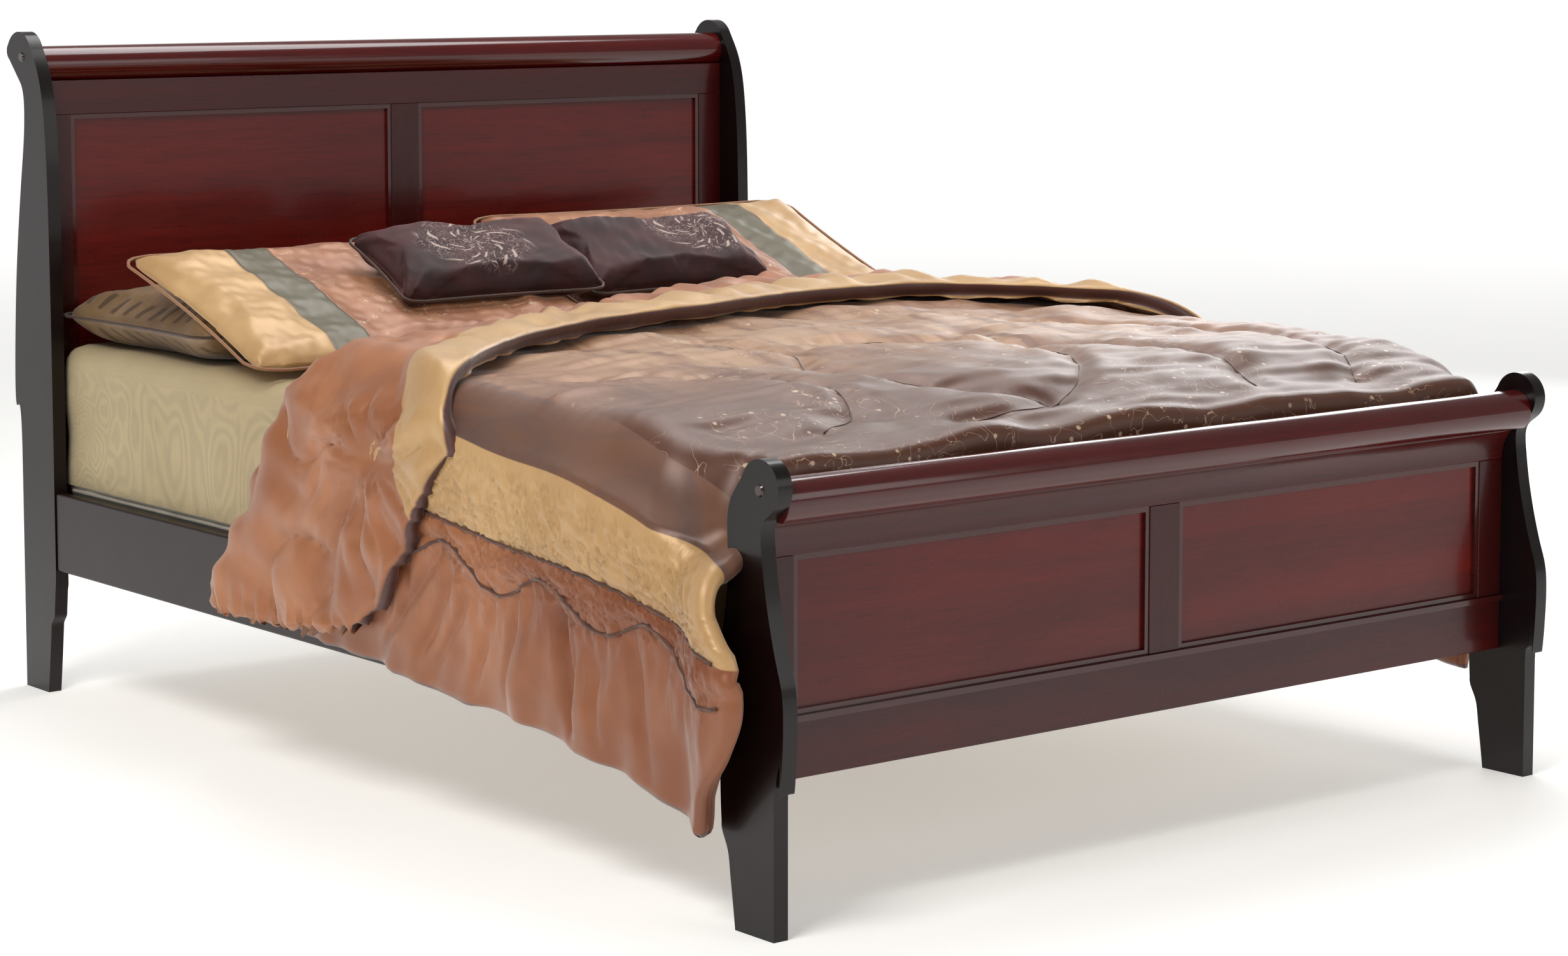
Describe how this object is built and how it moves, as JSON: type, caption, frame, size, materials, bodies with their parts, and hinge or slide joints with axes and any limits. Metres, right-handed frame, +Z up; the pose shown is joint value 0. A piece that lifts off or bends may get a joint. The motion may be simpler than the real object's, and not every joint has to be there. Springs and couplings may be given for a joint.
{
  "type": "sleigh bed",
  "caption": "Queen sleigh bed with scrolled head and foot posts, framed panels, hook-on side rails, slats, mattress and dressed bedding.",
  "frame": {"origin": "on the floor, under the middle of the bed's box", "axes": "+X right seen from the foot, +Y from foot to head, +Z up"},
  "size_m": [1.662, 2.24, 1.1939],
  "materials": {
    "cherry_wood": "gloss",
    "dark_wood": "gloss",
    "base_wood": "matte",
    "steel": "satin",
    "glide_plastic": "matte",
    "foundation_cloth": "matte",
    "mattress_ticking": "matte",
    "sheet_cloth": "matte",
    "comforter_satin": "satin",
    "pillow_cloth": "matte",
    "sham_satin": "satin",
    "cushion_velvet": "matte"
  },
  "bodies": {
    "bedstead": {"bracket_screws": "steel", "centre_leg_1": "base_wood", "centre_leg_2": "base_wood", "centre_leg_3": "base_wood", "footboard_bottom_rail": "cherry_wood", "footboard_centre_stile": "cherry_wood", "footboard_crest_roll": "cherry_wood", "footboard_dowels": "base_wood", "footboard_panel_beads": "cherry_wood", "footboard_panel_left": "cherry_wood", "footboard_panel_right": "cherry_wood", "footboard_post_left": "dark_wood", "footboard_post_right": "dark_wood", "footboard_scroll_plugs": "dark_wood", "footboard_stile_left": "cherry_wood", "footboard_stile_right": "cherry_wood", "footboard_top_rail": "cherry_wood", "headboard_bottom_rail": "cherry_wood", "headboard_centre_stile": "cherry_wood", "headboard_crest_roll": "cherry_wood", "headboard_dowels": "base_wood", "headboard_panel_beads": "cherry_wood", "headboard_panel_left": "cherry_wood", "headboard_panel_right": "cherry_wood", "headboard_post_left": "dark_wood", "headboard_post_right": "dark_wood", "headboard_scroll_plugs": "dark_wood", "headboard_stile_left": "cherry_wood", "headboard_stile_right": "cherry_wood", "headboard_top_rail": "cherry_wood", "ledger_screws": "steel", "ledger_strip_left": "base_wood", "ledger_strip_right": "base_wood", "leg_bolts": "steel", "post_slot_plates": "steel", "rail_hook_plates": "steel", "side_rail_left": "dark_wood", "side_rail_right": "dark_wood", "slat_1": "base_wood", "slat_2": "base_wood", "slat_3": "base_wood", "slat_4": "base_wood", "slat_5": "base_wood", "slat_6": "base_wood", "slat_7": "base_wood", "slat_screws": "steel"},
    "foundation": {"foundation": "foundation_cloth"},
    "mattress": {"mattress": "mattress_ticking", "fitted_sheet": "sheet_cloth"},
    "comforter": {"comforter": "comforter_satin"},
    "pillow_left": {"pillow_left": "pillow_cloth"},
    "sham_left": {"sham_left": "sham_satin"},
    "cushion_left": {"cushion_left": "cushion_velvet"},
    "pillow_right": {"pillow_right": "pillow_cloth"},
    "sham_right": {"sham_right": "sham_satin"},
    "cushion_right": {"cushion_right": "cushion_velvet"},
    "glide_1": {"levelling_glide_1": "glide_plastic"},
    "glide_2": {"levelling_glide_2": "glide_plastic"},
    "glide_3": {"levelling_glide_3": "glide_plastic"}
  },
  "joints": [
    {"name": "foundation_lift", "type": "slide", "parent": "bedstead", "child": "foundation", "axis": [0, 0, 1], "range_m": [0, 0.3]},
    {"name": "mattress_lift", "type": "slide", "parent": "foundation", "child": "mattress", "axis": [0, 0, 1], "range_m": [0, 0.35]},
    {"name": "comforter_lift", "type": "slide", "parent": "mattress", "child": "comforter", "axis": [0, 0, 1], "range_m": [0, 0.6]},
    {"name": "pillow_left_lift", "type": "slide", "parent": "mattress", "child": "pillow_left", "axis": [0, 0, 1], "range_m": [0, 0.4]},
    {"name": "sham_left_lift", "type": "slide", "parent": "pillow_left", "child": "sham_left", "axis": [0, 0, 1], "range_m": [0, 0.35]},
    {"name": "cushion_left_lift", "type": "slide", "parent": "sham_left", "child": "cushion_left", "axis": [0, 0, 1], "range_m": [0, 0.3]},
    {"name": "pillow_right_lift", "type": "slide", "parent": "mattress", "child": "pillow_right", "axis": [0, 0, 1], "range_m": [0, 0.4]},
    {"name": "sham_right_lift", "type": "slide", "parent": "pillow_right", "child": "sham_right", "axis": [0, 0, 1], "range_m": [0, 0.35]},
    {"name": "cushion_right_lift", "type": "slide", "parent": "sham_right", "child": "cushion_right", "axis": [0, 0, 1], "range_m": [0, 0.3]},
    {"name": "glide_1_screw", "type": "slide", "parent": "bedstead", "child": "glide_1", "axis": [0, 0, -1], "range_m": [0, 0.012]},
    {"name": "glide_2_screw", "type": "slide", "parent": "bedstead", "child": "glide_2", "axis": [0, 0, -1], "range_m": [0, 0.012]},
    {"name": "glide_3_screw", "type": "slide", "parent": "bedstead", "child": "glide_3", "axis": [0, 0, -1], "range_m": [0, 0.012]}
  ]
}
